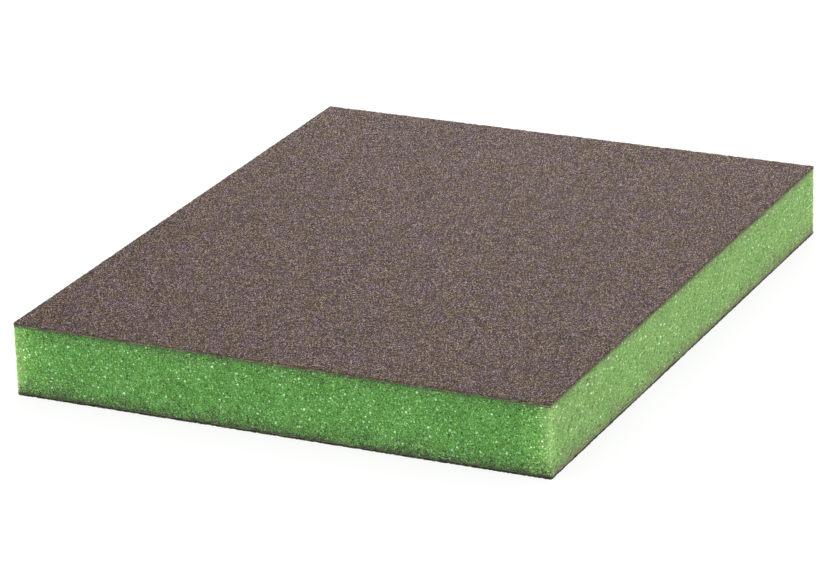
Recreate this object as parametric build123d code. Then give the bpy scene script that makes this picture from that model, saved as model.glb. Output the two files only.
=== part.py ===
from build123d import *
import os

# A flat, double-sided foam sanding pad. It lies on its lower abrasive face:
# X runs across its width, Y along its length and Z up through its thickness.
# The origin is the middle of the lower abrasive face. Millimetres.

# Driving dimensions
PAD_WIDTH = 98.0
PAD_LENGTH = 120.0
PAD_THICKNESS = 13.0
CORNER_RADIUS = 0.4  # the four upright edges, just softened by the die that cuts the pad out

# One abrasive face, from the foam outwards
MAKE_COAT = 0.12  # resin film that the grains are set in, soaked into the foam's cut cells
GRAIN_LAYER = 0.20  # a single layer of medium grains, each about as high as the layer
SIZE_COAT = 0.08  # thin resin film over and between the grains, which locks them in

COATING = MAKE_COAT + GRAIN_LAYER + SIZE_COAT
FOAM_THICKNESS = PAD_THICKNESS - 2 * COATING


def layer(bottom, thickness):
    """One bonded layer of the pad, the full outline of it, standing on the height bottom."""
    outline = RectangleRounded(PAD_WIDTH, PAD_LENGTH, CORNER_RADIUS)
    return extrude(Pos(0, 0, bottom) * outline, amount=thickness)


def stack(names_and_thicknesses, bottom):
    """Layers laid one on the other from the height bottom up, as a dictionary of node to solid."""
    solids = {}
    for name, thickness in names_and_thicknesses:
        solids[name] = layer(bottom, thickness)
        bottom += thickness
    return solids


def abrasive_face(side):
    """The three films of one abrasive face, named for its side, in order from the foam outwards."""
    return [
        (f"{side}_make_coat", MAKE_COAT),
        (f"{side}_grain_layer", GRAIN_LAYER),
        (f"{side}_size_coat", SIZE_COAT),
    ]


def sanding_pad():
    """Every piece of the pad, bonded face to face from the lower size coat to the upper one."""
    lower_face = abrasive_face("lower")[::-1]
    foam = [("foam_core", FOAM_THICKNESS)]
    upper_face = abrasive_face("upper")
    return stack(lower_face + foam + upper_face, bottom=0.0)


os.makedirs("parts", exist_ok=True)
for node, solid in sanding_pad().items():
    export_step(solid, f"parts/{node}.step")
    print(node, round(solid.volume, 1), "mm3")
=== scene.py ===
import math

import bpy
import numpy as np
from mathutils import Matrix, Vector


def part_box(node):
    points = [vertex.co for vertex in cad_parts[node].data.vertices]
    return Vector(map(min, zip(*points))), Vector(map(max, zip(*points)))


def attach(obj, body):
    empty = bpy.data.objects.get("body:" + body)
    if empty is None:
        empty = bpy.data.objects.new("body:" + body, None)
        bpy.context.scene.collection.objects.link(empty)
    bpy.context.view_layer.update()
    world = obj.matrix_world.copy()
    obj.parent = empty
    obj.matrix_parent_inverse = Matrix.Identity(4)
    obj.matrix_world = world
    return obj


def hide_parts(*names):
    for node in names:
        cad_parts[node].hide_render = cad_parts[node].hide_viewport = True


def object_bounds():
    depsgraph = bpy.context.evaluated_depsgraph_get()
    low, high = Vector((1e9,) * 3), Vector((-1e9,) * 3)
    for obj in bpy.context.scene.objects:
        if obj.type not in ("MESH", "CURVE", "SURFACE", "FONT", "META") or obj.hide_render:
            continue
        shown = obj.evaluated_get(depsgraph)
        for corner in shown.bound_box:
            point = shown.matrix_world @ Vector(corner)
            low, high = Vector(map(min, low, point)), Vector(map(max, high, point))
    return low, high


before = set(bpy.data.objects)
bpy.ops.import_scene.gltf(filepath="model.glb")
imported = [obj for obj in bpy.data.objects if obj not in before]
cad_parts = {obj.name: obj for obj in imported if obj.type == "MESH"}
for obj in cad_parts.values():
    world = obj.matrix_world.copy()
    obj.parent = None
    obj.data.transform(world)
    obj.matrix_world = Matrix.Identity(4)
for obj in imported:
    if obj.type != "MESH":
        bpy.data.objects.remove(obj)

# A double-sided foam sanding pad: a slab of green open-celled foam with a coat of brown abrasive
# grit on its upper and lower face. The CAD model gives every layer its place. This script gives
# the foam its open cells, each coat its grains, and every surface its material.

MM = 0.001
CAD_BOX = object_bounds()
PAD_LOW, PAD_HIGH = CAD_BOX
PAD_WIDTH = PAD_HIGH.x - PAD_LOW.x
PAD_LENGTH = PAD_HIGH.y - PAD_LOW.y
CORNER_RADIUS = 0.4 * MM  # of the four upright edges, as in the CAD model
CORNER_STEPS = 3  # straight steps round each of them
HIDDEN_UV = (0.999, 0.999)  # an empty corner of the map, for faces that lie against other pieces


# ---------------------------------------------------------------- outline and grids

def outline(step):
    """Points round the pad's outline about a step apart, anticlockwise, with outward normals."""
    half = np.array([PAD_WIDTH / 2 - CORNER_RADIUS, PAD_LENGTH / 2 - CORNER_RADIUS])
    points, normals = [], []
    for quarter, signs in enumerate([(1, -1), (1, 1), (-1, 1), (-1, -1)]):
        centre = half * signs
        start = (quarter - 1) * math.pi / 2
        turns = start + np.linspace(0, math.pi / 2, CORNER_STEPS + 1)
        for turn in turns:
            normal = np.array([math.cos(turn), math.sin(turn)])
            points.append(centre + CORNER_RADIUS * normal)
            normals.append(normal)
        side = 2 * (half[1] if quarter % 2 == 0 else half[0])
        count = round(side / step)
        along = np.array([-math.sin(turns[-1]), math.cos(turns[-1])])
        for k in range(1, count):
            points.append(centre + CORNER_RADIUS * normals[-1] + along * side * k / count)
            normals.append(normals[-1])
    return np.array(points), np.array(normals)


def distance_round(points):
    """How far along the outline each point is, and the whole way round."""
    runs = np.linalg.norm(np.roll(points, -1, axis=0) - points, axis=1)
    return np.concatenate([[0], np.cumsum(runs)[:-1]]), runs.sum()


def smooth_random(random, shape, reach):
    """A grid of random numbers of mean 0 and spread 1, blurred over reach rows and columns.

    It wraps round at its edges.
    """
    rows = np.fft.fftfreq(shape[0])[:, None]
    columns = np.fft.fftfreq(shape[1])[None, :]
    soften = np.exp(-2 * math.pi ** 2 * ((rows * reach[0]) ** 2 + (columns * reach[1]) ** 2))
    field = np.fft.ifft2(np.fft.fft2(random.standard_normal(shape)) * soften).real
    return (field - field.mean()) / field.std()


def grid_quads(rows, columns, wrap=False):
    """The corner numbers of the quads of a grid of rows x columns points, numbered row by row."""
    r = np.arange(rows - 1)[:, None]
    c = np.arange(columns if wrap else columns - 1)[None, :]
    right = (c + 1) % columns
    quads = np.stack([r * columns + c, r * columns + right,
                      (r + 1) * columns + right, (r + 1) * columns + c], axis=-1)
    return quads.reshape(-1, 4)


def make_piece(name, points, faces, uvs):
    """A mesh object from points, faces and one UV pair for each face corner. Its quads are smooth."""
    mesh = bpy.data.meshes.new(name)
    mesh.from_pydata(points.tolist(), [], [list(map(int, face)) for face in faces])
    layer = mesh.uv_layers.new(name="OFBake")
    layer.data.foreach_set("uv", np.ascontiguousarray(uvs, np.float32).ravel())
    mesh.polygons.foreach_set("use_smooth", [len(face) == 4 for face in faces])
    mesh.update()
    piece = bpy.data.objects.new(name, mesh)
    bpy.context.scene.collection.objects.link(piece)
    return piece


# ---------------------------------------------------------------- the foam

FOAM_PITCH = 0.25 * MM  # of the mesh on the four bare sides
PIT_DEPTH = 0.12 * MM  # of a usual cut cell
PIT_LEVEL = -0.3  # there is a pit wherever the random height is below this
PIT_CAP = 1.7  # the deepest pits are this many times the usual depth
PIT_REACH = 0.7  # how far the pits are blurred, in mesh steps
LONG_PITS = 0.55  # the pits in the long sides, cut along the rise, are this share as deep
CELL_STRETCH = 2.0  # the cells are this much longer along the pad, the way the foam rose
WAVE_DEPTH = 0.04 * MM  # of the slow unevenness that the cutting leaves
WAVE_MEAN, WAVE_SPREAD = 0.5, 0.3  # as shares of that depth
WAVE_REACH = 12  # how far the waves are blurred, in mesh steps
FOAM_SEED = 11
UV_STRIPS = 6  # the sides are one long narrow band, cut into this many strips that fill the map
STRIP_GAP = 0.04  # between two strips, in strip heights
STRIP_MARGIN = 1.01  # the map is at least this many times as wide as a strip is long


def foam_uvs(along, total, up, height, quads, columns):
    """The UVs of the side band: equal strips of the way round, stacked one over the other."""
    strip_length = total / UV_STRIPS
    gap = STRIP_GAP * height
    map_size = max(strip_length * STRIP_MARGIN, UV_STRIPS * (height + gap))
    column = quads[:, 0] % columns
    strip = np.minimum((along[column] / strip_length).astype(int), UV_STRIPS - 1)
    ahead = np.append(along[1:], total)
    left = along[column] - strip * strip_length
    right = ahead[column] - strip * strip_length
    row = quads[:, 0] // columns
    base = strip * (height + gap)
    low, high = base + up[row], base + up[row + 1]
    corners = np.stack([np.stack([left, low], -1), np.stack([right, low], -1),
                        np.stack([right, high], -1), np.stack([left, high], -1)], axis=1)
    return corners.reshape(-1, 2) / map_size


def foam_body():
    """The foam core: a closed slab whose four sides are pitted with cut cells."""
    low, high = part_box("foam_core")
    random = np.random.default_rng(FOAM_SEED)
    ring, normals = outline(FOAM_PITCH)
    columns = len(ring)
    height = high.z - low.z
    rows = round(height / FOAM_PITCH) + 1
    up = np.linspace(0, height, rows)
    cells = smooth_random(random, (rows, columns), (PIT_REACH, PIT_REACH))
    long_cells = smooth_random(random, (rows, columns), (PIT_REACH, CELL_STRETCH * PIT_REACH))
    on_long_side = np.abs(normals[:, 0]) > np.abs(normals[:, 1])
    cells = np.where(on_long_side, long_cells, cells)
    pit_depth = PIT_DEPTH * np.where(on_long_side, LONG_PITS, 1.0)
    waves = smooth_random(random, (rows, columns), (WAVE_REACH, WAVE_REACH))
    pits = pit_depth * np.clip(PIT_LEVEL - cells, 0, PIT_CAP)
    uneven = WAVE_DEPTH * np.clip(WAVE_MEAN + WAVE_SPREAD * waves, 0, 1)
    inward = (pits + uneven)[:, :, None] * normals[None, :, :]
    points = np.empty((rows, columns, 3))
    points[:, :, :2] = ring[None, :, :] - inward
    points[:, :, 2] = low.z + up[:, None]
    quads = grid_quads(rows, columns, wrap=True)
    along, total = distance_round(ring)
    uvs = foam_uvs(along, total, up, height, quads, columns)
    under = list(range(columns - 1, -1, -1))
    over = [(rows - 1) * columns + k for k in range(columns)]
    hidden = np.tile([HIDDEN_UV], (2 * columns, 1))
    faces = quads.tolist() + [under, over]
    return make_piece("foam_body", points.reshape(-1, 3), faces, np.vstack([uvs, hidden]))


# ---------------------------------------------------------------- the abrasive coats

GRIT_PITCH = 0.36 * MM  # of the mesh on the coat's outer face
GRIT_JITTER = 0.3  # how far its points are moved off a square grid, in mesh steps
GRAIN_RELIEF = 0.13 * MM  # how far the tallest grains stand over the lowest
GRAIN_SPREAD = 0.45  # of the grains' heights, as a share of that
EDGE_RAGGED = 0.03 * MM  # how far the cut edge of the coat wanders in
RAGGED_SPREAD = 0.5  # of that wandering, as a share of it
FACE_MARGIN = 1.005  # the map is this many times as long as the pad
WALLS_START = 1.01 * PAD_WIDTH  # where the walls' part of the map begins, as a place on the pad
WALL_SPACING = 2.5  # between the walls' strips, in wall heights


def grit_coat(name, inner, outer, seed):
    """A closed layer of grit from the height inner to the height outer, rough on its outer face."""
    random = np.random.default_rng(seed)
    columns = round(PAD_WIDTH / GRIT_PITCH) + 1
    rows = round(PAD_LENGTH / GRIT_PITCH) + 1
    across = np.linspace(PAD_LOW.x, PAD_HIGH.x, columns)
    away = np.linspace(PAD_LOW.y, PAD_HIGH.y, rows)
    face = np.empty((rows, columns, 3))
    face[:, :, 0], face[:, :, 1] = np.meshgrid(across, away)
    jitter = random.uniform(-GRIT_JITTER, GRIT_JITTER, (rows, columns, 2)) * GRIT_PITCH
    face[1:-1, 1:-1, :2] += jitter[1:-1, 1:-1]
    sink = np.abs(random.standard_normal((rows, columns))) * GRAIN_SPREAD
    inward = math.copysign(1, inner - outer)
    face[:, :, 2] = outer + inward * GRAIN_RELIEF * np.clip(sink, 0, 1)
    ragged = np.abs(random.standard_normal((rows, columns))) * EDGE_RAGGED * RAGGED_SPREAD
    face[:, 0, 0] += ragged[:, 0]
    face[:, -1, 0] -= ragged[:, -1]
    face[0, :, 1] += ragged[0, :]
    face[-1, :, 1] -= ragged[-1, :]
    # The four corners are moved in, so that they stay within the rounded upright edges.
    tuck = CORNER_RADIUS * (1 - math.sqrt(0.5))
    for corner in (face[0, 0], face[0, -1], face[-1, 0], face[-1, -1]):
        corner[:2] -= np.sign(corner[:2]) * tuck

    ring = [(0, c) for c in range(columns - 1)]
    ring += [(r, columns - 1) for r in range(rows - 1)]
    ring += [(rows - 1, c) for c in range(columns - 1, 0, -1)]
    ring += [(r, 0) for r in range(rows - 1, 0, -1)]
    rim = np.array([r * columns + c for r, c in ring])
    base = face.reshape(-1, 3)[rim].copy()
    base[:, 2] = inner
    points = np.vstack([face.reshape(-1, 3), base])
    bottom = rows * columns + np.arange(len(rim))
    walls = np.stack([bottom, np.roll(bottom, -1), np.roll(rim, -1), rim], axis=-1)
    quads = grid_quads(rows, columns)

    # The face takes the map's left part, and the walls, cut into strips, its right at the same scale.
    scale = PAD_LENGTH * FACE_MARGIN
    flat = (face[:, :, :2] - np.array([PAD_LOW.x, PAD_LOW.y])) / scale
    face_uvs = flat.reshape(-1, 2)[quads].reshape(-1, 2)
    wall_uvs = wall_strips(base, abs(outer - inner), scale)
    hidden = np.tile([HIDDEN_UV], (len(rim), 1))
    under = bottom[::-1].tolist()
    if outer < inner:
        quads, walls, under = quads[:, ::-1], walls[:, ::-1], under[::-1]
        face_uvs = face_uvs.reshape(-1, 4, 2)[:, ::-1].reshape(-1, 2)
        wall_uvs = wall_uvs.reshape(-1, 4, 2)[:, ::-1].reshape(-1, 2)
    faces = quads.tolist() + walls.tolist() + [under]
    return make_piece(name, points, faces, np.vstack([face_uvs, wall_uvs, hidden]))


def wall_strips(base, height, scale):
    """UVs for the thin walls round a coat: upright strips side by side, from WALLS_START on."""
    along, total = distance_round(base[:, :2])
    strips = math.ceil(total / PAD_LENGTH)
    strip_length = total / strips
    strip = np.minimum((along / strip_length).astype(int), strips - 1)
    ahead = np.append(along[1:], total)
    bottom = along - strip * strip_length
    top = ahead - strip * strip_length
    left = WALLS_START + strip * height * WALL_SPACING
    right = left + height
    corners = np.stack([np.stack([left, bottom], -1), np.stack([left, top], -1),
                        np.stack([right, top], -1), np.stack([right, bottom], -1)], axis=1)
    return corners.reshape(-1, 2) / scale


# ---------------------------------------------------------------- what the materials are drawn with

def rgb(red, green, blue):
    """A display colour, 0 to 255, as the linear colour with alpha that a shader takes."""
    def linear(value):
        share = value / 255
        return share / 12.92 if share <= 0.04045 else ((share + 0.055) / 1.055) ** 2.4
    return (linear(red), linear(green), linear(blue), 1.0)


class Sketch:
    """A material drawn up node by node. Its methods add nodes and return the sockets they give.

    Its textures are stretch times as long along the pad as across it.
    """

    def __init__(self, name, stretch=1.0, **shader):
        self.material = bpy.data.materials.new(name)
        self.material.use_nodes = True
        self.tree = self.material.node_tree
        self.shader = self.tree.nodes["Principled BSDF"]
        for socket, value in shader.items():
            self.shader.inputs[socket.replace("_", " ")].default_value = value
        place = self.tree.nodes.new("ShaderNodeTexCoord").outputs["Object"]
        self.place = self.vector("SCALE", place, scale=1 / MM)
        self.mm = self.vector("MULTIPLY", self.place, (1.0, 1 / stretch, 1.0))

    def put(self, socket, value):
        """Links a socket to another one, or sets it to a number, vector or colour."""
        if isinstance(value, bpy.types.NodeSocket):
            self.tree.links.new(value, socket)
        else:
            socket.default_value = value

    def vector(self, operation, a, b=None, scale=None):
        """Vector arithmetic on a and, where the operation takes them, b or a scale."""
        node = self.tree.nodes.new("ShaderNodeVectorMath")
        node.operation = operation
        self.put(node.inputs[0], a)
        if b is not None:
            self.put(node.inputs[1], b)
        if scale is not None:
            self.put(node.inputs["Scale"], scale)
        return node.outputs[0]

    def maths(self, operation, a, b=0.0):
        """Arithmetic on two numbers."""
        node = self.tree.nodes.new("ShaderNodeMath")
        node.operation = operation
        self.put(node.inputs[0], a)
        self.put(node.inputs[1], b)
        return node.outputs[0]

    def axes(self):
        """Each point's place along X, Y and Z, in mm."""
        node = self.tree.nodes.new("ShaderNodeSeparateXYZ")
        self.put(node.inputs[0], self.place)
        return node.outputs["X"], node.outputs["Y"], node.outputs["Z"]

    def noise(self, size, detail=2.0, roughness=0.5, shift=0.0):
        """Cloudy noise, 0 to 1, with lumps about size mm across. shift moves it elsewhere."""
        node = self.tree.nodes.new("ShaderNodeTexNoise")
        node.noise_dimensions = "4D"
        self.put(node.inputs["Vector"], self.mm)
        node.inputs["W"].default_value = shift
        node.inputs["Scale"].default_value = 1 / size
        node.inputs["Detail"].default_value = detail
        node.inputs["Roughness"].default_value = roughness
        return node.outputs["Fac"]

    def cells(self, size, shift=(0.0, 0.0, 0.0)):
        """Cells about size mm across: each point's distance to its centre, and its cell's random colour."""
        node = self.tree.nodes.new("ShaderNodeTexVoronoi")
        self.put(node.inputs["Vector"], self.vector("ADD", self.mm, shift))
        node.inputs["Scale"].default_value = 1 / size
        # The cell's own colour only repeats where its centre lies, so a fresh one is drawn from it.
        fresh = self.tree.nodes.new("ShaderNodeTexWhiteNoise")
        self.put(fresh.inputs["Vector"], node.outputs["Position"])
        return node.outputs["Distance"], fresh.outputs["Color"]

    def parts(self, colour):
        """Three random numbers out of a cell's random colour."""
        node = self.tree.nodes.new("ShaderNodeSeparateColor")
        self.put(node.inputs[0], colour)
        return node.outputs[0], node.outputs[1], node.outputs[2]

    def rescale(self, value, low, high, to_low=0.0, to_high=1.0, smooth=True):
        """Turns low..high into to_low..to_high, and holds the value there beyond them."""
        node = self.tree.nodes.new("ShaderNodeMapRange")
        node.interpolation_type = "SMOOTHSTEP" if smooth else "LINEAR"
        node.clamp = True
        self.put(node.inputs["Value"], value)
        self.put(node.inputs["From Min"], low)
        self.put(node.inputs["From Max"], high)
        self.put(node.inputs["To Min"], to_low)
        self.put(node.inputs["To Max"], to_high)
        return node.outputs["Result"]

    def ramp(self, value, *stops):
        """A colour for each value: stops are (value, colour) in order."""
        node = self.tree.nodes.new("ShaderNodeValToRGB")
        band = node.color_ramp
        while len(band.elements) < len(stops):
            band.elements.new(1.0)
        for element, (place, colour) in zip(band.elements, stops):
            element.position = place
            element.color = colour
        self.put(node.inputs[0], value)
        return node.outputs["Color"]

    def mix(self, share, a, b, how="MIX"):
        """Two colours mixed: a where share is 0, and b over it where share is 1."""
        node = self.tree.nodes.new("ShaderNodeMix")
        node.data_type = "RGBA"
        node.blend_type = how
        node.clamp_result = False
        self.put(node.inputs["Factor"], share)
        colour_a, colour_b = node.inputs[6], node.inputs[7]
        self.put(colour_a, a)
        self.put(colour_b, b)
        return node.outputs[2]

    def tint(self, colour, level):
        """A colour made lighter or darker by a number that is 1 where it stays as it is."""
        return self.vector("SCALE", colour, scale=level)

    def bump(self, height, depth, strength=1.0):
        """Relief of the depth given, in mm, where height goes from 0 to 1."""
        node = self.tree.nodes.new("ShaderNodeBump")
        node.inputs["Strength"].default_value = strength
        node.inputs["Distance"].default_value = depth * MM
        self.put(node.inputs["Height"], height)
        return node.outputs["Normal"]

    def finish(self, colour, roughness=None, normal=None):
        """Puts what was drawn on the shader, and returns the material."""
        self.put(self.shader.inputs["Base Color"], colour)
        if roughness is not None:
            self.put(self.shader.inputs["Roughness"], roughness)
        if normal is not None:
            self.put(self.shader.inputs["Normal"], normal)
        return self.material


def spots(sketch, spacing, size, share, shift):
    """Small uneven spots, 0 to 1, about size mm in radius: one in each of a share of the cells."""
    distance, colour = sketch.cells(spacing, shift=shift)
    chance, width, level = sketch.parts(colour)
    uneven = sketch.rescale(sketch.noise(0.3, detail=1.0, shift=9.0), 0.3, 0.7, 0.7, 1.3, smooth=False)
    width = sketch.rescale(width, 0.0, 1.0, 0.6, 1.15, smooth=False)
    reach = sketch.maths("MULTIPLY", sketch.maths("MULTIPLY", width, size / spacing), uneven)
    spot = sketch.rescale(sketch.maths("DIVIDE", distance, reach), 1.0, 0.4)
    lit = sketch.maths("LESS_THAN", chance, share)
    strength = sketch.rescale(level, 0.0, 1.0, 0.35, 1.0)
    return sketch.maths("MULTIPLY", sketch.maths("MULTIPLY", spot, lit), strength)


def edge_distances(sketch):
    """How far in each point is from the nearest long side, and from the nearest end, in mm."""
    x, y, _ = sketch.axes()
    from_side = sketch.maths("SUBTRACT", PAD_WIDTH / 2 / MM, sketch.maths("ABSOLUTE", x))
    from_end = sketch.maths("SUBTRACT", PAD_LENGTH / 2 / MM, sketch.maths("ABSOLUTE", y))
    return from_side, from_end


# ---------------------------------------------------------------- the foam's material

CELL = 0.15  # mm, the foam's usual cell
FOAM_GREENS = ((0.1, rgb(30, 76, 18)), (0.5, rgb(79, 141, 58)),
               (0.75, rgb(105, 174, 80)), (1.0, rgb(156, 208, 130)))
# Painted shade for the open pores, and the colours of the painted glints off the foam's cell walls.
PORE_SHADE_GREEN, FAIR_GLINT, BRIGHT_GLINT = rgb(10, 44, 6), rgb(188, 236, 160), rgb(224, 255, 218)
# A painted glow of the light that comes through the foam's upright edges: a tint, a paler mix, and how far
# each goes, in mm.
GLOW_TINT, GLOW_REACH = (1.75, 1.45, 1.46, 1.0), 6.0
GLOW_PALE, PALE_REACH, PALE_SHARE = rgb(184, 210, 154), 2.2, 0.35
SIDE_FADE = 1.9  # the glow fades this much sooner along the long sides than along the ends
# Colours of the soaked-in resin, cell by cell, also used for the painted shade near the lower edge.
RESIN_STAINS_AND_SHADE = (0.0, rgb(10, 12, 5)), (0.5, rgb(42, 48, 33)), (1.0, rgb(104, 118, 88))


def foam_cells(sketch):
    """The cut cells: their colour, their relief, and two random numbers for each."""
    distance, cell = sketch.cells(CELL)
    cell_level, cell_open, cell_resin = sketch.parts(cell)
    speckle = sketch.noise(0.12, detail=1.0, shift=3.0)
    patches = sketch.noise(4.0, detail=3.0, roughness=0.6)
    patches = sketch.rescale(patches, 0.3, 0.7, -0.25, -0.12, smooth=False)
    level = sketch.maths("MULTIPLY", cell_level, 0.55)
    level = sketch.maths("ADD", level, sketch.maths("MULTIPLY", speckle, 0.9))
    green = sketch.ramp(sketch.maths("ADD", level, patches), *FOAM_GREENS)
    # Painted shade: the middle of each open cell is darkened, as a pore.
    pore_shade = sketch.rescale(distance, 0.5, 0.1, 0.0, 1.0)
    pore_shade = sketch.maths("MULTIPLY", pore_shade, sketch.rescale(cell_open, 0.5, 0.9))
    green = sketch.mix(sketch.maths("MULTIPLY", pore_shade, 0.9), green, PORE_SHADE_GREEN)
    walls = sketch.rescale(distance, 0.1, 0.6)
    relief = sketch.maths("SUBTRACT", walls, sketch.maths("MULTIPLY", speckle, 0.3))
    return green, relief, cell_open, cell_resin


def with_spots(sketch, green):
    """Painted shade in open holes among the cells, and painted glints on bits of cell wall that catch the
    light.
    """
    hole_shade = spots(sketch, spacing=0.36, size=0.18, share=0.6, shift=(0.0, 0.0, 9.0))
    fair_glint = spots(sketch, spacing=0.42, size=0.18, share=0.65, shift=(0.0, 5.0, 0.0))
    bright_glint = spots(sketch, spacing=0.8, size=0.25, share=0.35, shift=(7.0, 0.0, 0.0))
    green = sketch.mix(hole_shade, green, PORE_SHADE_GREEN)
    green = sketch.mix(sketch.maths("MULTIPLY", fair_glint, 0.8), green, FAIR_GLINT)
    return sketch.mix(bright_glint, green, BRIGHT_GLINT)


def with_painted_glow(sketch, green):
    """A painted glow: paler, warmer foam near each upright edge, standing for light that comes through from
    the next side.
    """
    from_side, from_end = edge_distances(sketch)
    edge = sketch.maths("MAXIMUM", from_side, sketch.maths("MULTIPLY", from_end, SIDE_FADE))
    glow = sketch.rescale(edge, GLOW_REACH, 0.0, smooth=False)
    green = sketch.mix(1.0, green, sketch.mix(glow, (1.0, 1.0, 1.0, 1.0), GLOW_TINT), how="MULTIPLY")
    pale = sketch.rescale(edge, PALE_REACH, 0.0, 0.0, PALE_SHARE, smooth=False)
    return sketch.mix(pale, green, GLOW_PALE)


def with_resin(sketch, green, cell_open, cell_resin):
    """Resin soaked into the foam at each coat, cell by cell, and deeper at the lower one, partly as painted
    shade; painted shade also darkens the lowest 3.5 mm.
    """
    low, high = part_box("foam_core")
    patchy = sketch.rescale(sketch.noise(1.6, detail=1.0, shift=2.0), 0.3, 0.7, 0.4, 1.7, smooth=False)
    reach = sketch.maths("ADD", sketch.maths("MULTIPLY", sketch.maths("POWER", cell_open, 2.6), 3.3), 0.3)
    reach = sketch.maths("MULTIPLY", reach, patchy)
    above = sketch.maths("SUBTRACT", sketch.axes()[2], low.z / MM)
    below = sketch.maths("SUBTRACT", high.z / MM, sketch.axes()[2])
    # The lower soak reaches further and darker than the upper one, partly as painted shade; painted shade
    # also darkens the foam towards the lower edge.
    soak_and_shade_low = sketch.rescale(sketch.maths("DIVIDE", above, reach), 0.6, 1.4, 0.9, 0.0)
    soaked_high = sketch.rescale(sketch.maths("DIVIDE", below, reach), 0.3, 0.9, 0.7, 0.0)
    painted_shade_low = sketch.rescale(above, 0.0, 3.5, 0.15, 0.0)
    soak_and_shade = sketch.maths("MAXIMUM", sketch.maths("MAXIMUM", soak_and_shade_low, soaked_high), painted_shade_low)
    return sketch.mix(soak_and_shade, green, sketch.ramp(cell_resin, *RESIN_STAINS_AND_SHADE))


def foam_material():
    """Green open-celled foam, with painted shade in its dark pores, pale and bright painted glints off its
    cell walls, a painted glow at its upright edges, and soaked-in resin with painted shade near the bottom.
    """
    sketch = Sketch("green_foam", stretch=CELL_STRETCH, Roughness=0.8, Specular_IOR_Level=0.3,
                    Subsurface_Weight=0.5, Subsurface_Radius=(1.0, 0.7, 0.3), Subsurface_Scale=2.0 * MM,
                    Sheen_Weight=0.53, Sheen_Roughness=0.45, Sheen_Tint=(1.0, 1.0, 0.5, 1.0))
    green, relief, cell_open, cell_resin = foam_cells(sketch)
    green = with_spots(sketch, green)
    green = with_painted_glow(sketch, green)
    green = with_resin(sketch, green, cell_open, cell_resin)
    return sketch.finish(green, normal=sketch.bump(relief, 0.08, strength=0.35))


# ---------------------------------------------------------------- the coats' materials

GRAIN = 0.12  # mm, the abrasive's usual grain
GRAIN_STRETCH = 1.6  # the grains lie this much longer along the pad, the way the coat was drawn on
GRAIN_BROWNS = ((0.0, rgb(18, 3, 1)), (0.38, rgb(42, 25, 18)), (0.66, rgb(77, 60, 53)),
                (0.84, rgb(124, 111, 105)), (1.0, rgb(188, 177, 171)))
# Painted shade in the pits between grains, and pale grains that also stand in for painted glints.
PIT_SHADE_BROWN, PALE_GRAIN_AND_GLINT = rgb(24, 12, 9), rgb(214, 204, 198)
MOTTLE_HUES = (0.36, rgb(189, 179, 150)), (0.5, rgb(189, 177, 171)), (0.64, rgb(189, 174, 192))
# The darkest, usual and palest colour of each coat's cut edge. The lower edge's colours are darker as
# painted shade, since less light reaches it.
UPPER_CUT = rgb(62, 58, 42), rgb(98, 100, 73), rgb(140, 146, 112)
LOWER_CUT_SHADED = rgb(6, 7, 3), rgb(28, 36, 18), rgb(84, 102, 58)


def cut_colour(sketch, dark, usual, pale):
    """The broken colour of a coat's cut edge: resin and grains with some foam between them."""
    lumps = sketch.noise(0.7, detail=2.0, roughness=0.6, shift=6.0)
    return sketch.ramp(lumps, (0.32, dark), (0.5, usual), (0.68, pale))


def with_cut_edge(sketch, colour, grain_random):
    """The coat's cut edge, which covers most of each grain there."""
    is_upper = sketch.maths("GREATER_THAN", sketch.axes()[2], PAD_HIGH.z / 2 / MM)
    # Below the middle, the darker cut colours are painted shade.
    cut = sketch.mix(is_upper, cut_colour(sketch, *LOWER_CUT_SHADED), cut_colour(sketch, *UPPER_CUT))
    depth = sketch.maths("MINIMUM", *edge_distances(sketch))
    at_cut = sketch.maths("LESS_THAN", depth, 2 * EDGE_RAGGED / MM)
    covered = sketch.rescale(grain_random, 0.0, 1.0, 0.2, 0.95)
    return sketch.mix(sketch.maths("MULTIPLY", at_cut, covered), colour, cut)


def grit_material():
    """Brown abrasive grains in resin, from dark to pale, on a slow mottle of mauve and olive, with painted
    shade in small pits and pale grains that are partly painted glints.
    """
    sketch = Sketch("brown_grit", stretch=GRAIN_STRETCH, Specular_IOR_Level=0.1)
    distance, cell = sketch.cells(GRAIN)
    shade, shine, lift = sketch.parts(cell)
    pits = spots(sketch, spacing=0.45, size=0.17, share=0.7, shift=(4.0, 0.0, 0.0))
    pale = spots(sketch, spacing=0.9, size=0.13, share=0.35, shift=(0.0, 8.0, 0.0))
    grain = sketch.ramp(shade, *GRAIN_BROWNS)
    # Painted shade in the pits, then pale grains that are partly painted glints.
    grain = sketch.mix(sketch.maths("MULTIPLY", pits, 0.8), grain, PIT_SHADE_BROWN)
    grain = sketch.mix(pale, grain, PALE_GRAIN_AND_GLINT)
    hue = sketch.ramp(sketch.noise(1.5, detail=1.0, roughness=0.5), *MOTTLE_HUES)
    slow = sketch.rescale(sketch.noise(9.0, detail=2.0, shift=4.0), 0.3, 0.7, 1.87, 2.03, smooth=False)
    colour = sketch.mix(1.0, grain, sketch.tint(hue, slow), how="MULTIPLY")
    colour = with_cut_edge(sketch, colour, shine)
    dome = sketch.rescale(distance, 0.65, 0.0, 0.0, 1.0)
    stand = sketch.maths("MULTIPLY", dome, sketch.rescale(lift, 0.0, 1.0, 0.5, 1.0))
    rough = sketch.rescale(shine, 0.0, 1.0, 0.45, 0.8, smooth=False)
    return sketch.finish(colour, roughness=rough, normal=sketch.bump(stand, 0.10, strength=0.9))


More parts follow.
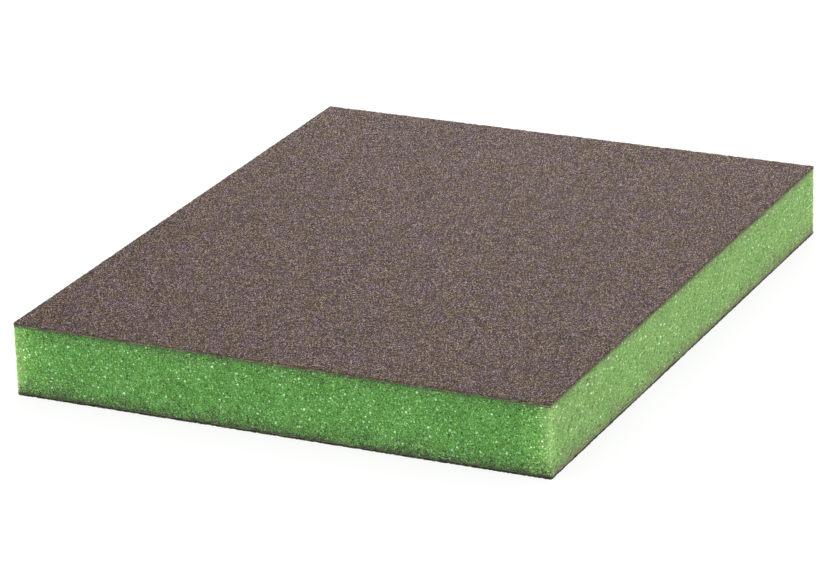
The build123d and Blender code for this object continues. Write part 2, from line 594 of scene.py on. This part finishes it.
def resin_material(name, colours):
    """The resin that the grains are set in, seen only as a thin line round the edge."""
    sketch = Sketch(name, Specular_IOR_Level=0.3)
    lumps = sketch.noise(0.35, detail=3.0, roughness=0.6)
    level = sketch.rescale(lumps, 0.3, 0.7, 0.45, 1.6, smooth=False)
    colour = sketch.tint(cut_colour(sketch, *colours), level)
    rough = sketch.rescale(lumps, 0.3, 0.7, 0.45, 0.7, smooth=False)
    return sketch.finish(colour, roughness=rough, normal=sketch.bump(lumps, 0.08, strength=0.8))


# ---------------------------------------------------------------- the pad's pieces

def add_piece(piece, material, nodes):
    """Gives a piece its material, hangs it under the root body, and hides the CAD nodes it stands for."""
    piece.data.materials.append(material)
    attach(piece, "root")
    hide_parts(*nodes)
    return piece


def build_pad():
    """The foam, the two coats of grit, and the resin that the CAD model's two make coats show."""
    foam = add_piece(foam_body(), foam_material(), ["foam_core"])
    grit = grit_material()
    for side, seed in (("upper", 21), ("lower", 22)):
        inner_low, inner_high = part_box(f"{side}_grain_layer")
        outer_low, outer_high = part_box(f"{side}_size_coat")
        inner, outer = (inner_low.z, outer_high.z) if side == "upper" else (inner_high.z, outer_low.z)
        coat = grit_coat(f"{side}_grit", inner, outer, seed)
        add_piece(coat, grit, [f"{side}_grain_layer", f"{side}_size_coat"])
    # The lower resin takes the darker cut colours, which are painted shade.
    for side, colours in (("upper", UPPER_CUT), ("lower", LOWER_CUT_SHADED)):
        resin = resin_material(f"{side}_make_resin", colours)
        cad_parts[f"{side}_make_coat"].material_slots[0].material = resin


# ---------------------------------------------------------------- studio and camera

FLOOR_SIZE = 8.0  # in metres
FLOOR_GREYS = (0.0, (0.21, 0.21, 0.21, 1.0)), (1.0, (0.23, 0.23, 0.23, 1.0))
AIM = Vector((8.0 * MM, -23.0 * MM, PAD_HIGH.z))  # the point on the upper face in the picture's middle
DISTANCE = 0.724  # from there to the camera, in metres
AZIMUTH, ELEVATION, ROLL = math.radians(25.89), math.radians(21.19), math.radians(-1.85)
LENS, SENSOR = 185.8, 36.0  # in mm
CLIP_START, CLIP_END = 0.01, 20.0  # in metres


def studio_floor():
    """A pale square floor that the pad lies on."""
    mesh = bpy.data.meshes.new("floor")
    half = FLOOR_SIZE / 2
    corners = [(-half, -half), (half, -half), (half, half), (-half, half)]
    mesh.from_pydata([(x, y, PAD_LOW.z) for x, y in corners], [], [(0, 1, 2, 3)])
    floor = bpy.data.objects.new("floor", mesh)
    bpy.context.scene.collection.objects.link(floor)
    sketch = Sketch("floor_white", Roughness=0.9, Specular_IOR_Level=0.1,
                    Emission_Color=(1.0, 1.0, 1.0, 1.0), Emission_Strength=0.8)
    mesh.materials.append(sketch.finish(sketch.ramp(sketch.noise(60.0), *FLOOR_GREYS)))


def softbox(name, place, size, power, colour=(1.0, 1.0, 1.0)):
    """A square area light at a place, in metres, turned to face the pad."""
    data = bpy.data.lights.new(name, "AREA")
    data.size = size
    data.energy = power
    data.color = colour
    light = bpy.data.objects.new(name, data)
    light.location = place
    light.rotation_mode = "QUATERNION"
    light.rotation_quaternion = (-Vector(place)).to_track_quat("-Z", "Y")
    bpy.context.scene.collection.objects.link(light)


def studio_lights():
    """An even white surround and three soft lights."""
    world = bpy.data.worlds.new("studio")
    bpy.context.scene.world = world
    world.use_nodes = True
    background = world.node_tree.nodes["Background"]
    background.inputs["Color"].default_value = (1.0, 1.0, 1.0, 1.0)
    background.inputs["Strength"].default_value = 1.0
    softbox("key", (1.2, 0.3, 0.8), 0.9, 2.0, colour=(1.0, 0.92, 0.86))
    softbox("back", (-0.1, 0.3, 0.2), 0.25, 0.7)
    softbox("fill", (-0.9, -0.6, 0.7), 1.0, 1.5)
    bpy.context.scene.view_settings.view_transform = "Standard"


def camera():
    """The scene's camera, looking at AIM from AZIMUTH and ELEVATION."""
    data = bpy.data.cameras.new("camera")
    data.sensor_width = SENSOR
    data.lens = LENS
    data.clip_start, data.clip_end = CLIP_START, CLIP_END
    eye = bpy.data.objects.new("camera", data)
    away = Vector((math.sin(AZIMUTH) * math.cos(ELEVATION), -math.cos(AZIMUTH) * math.cos(ELEVATION),
                   math.sin(ELEVATION)))
    look = (-away).to_track_quat("-Z", "Y").to_matrix() @ Matrix.Rotation(ROLL, 3, "Z")
    eye.matrix_world = Matrix.Translation(AIM + away * DISTANCE) @ look.to_4x4()
    bpy.context.scene.collection.objects.link(eye)
    bpy.context.scene.camera = eye


camera()
studio_floor()
studio_lights()
build_pad()
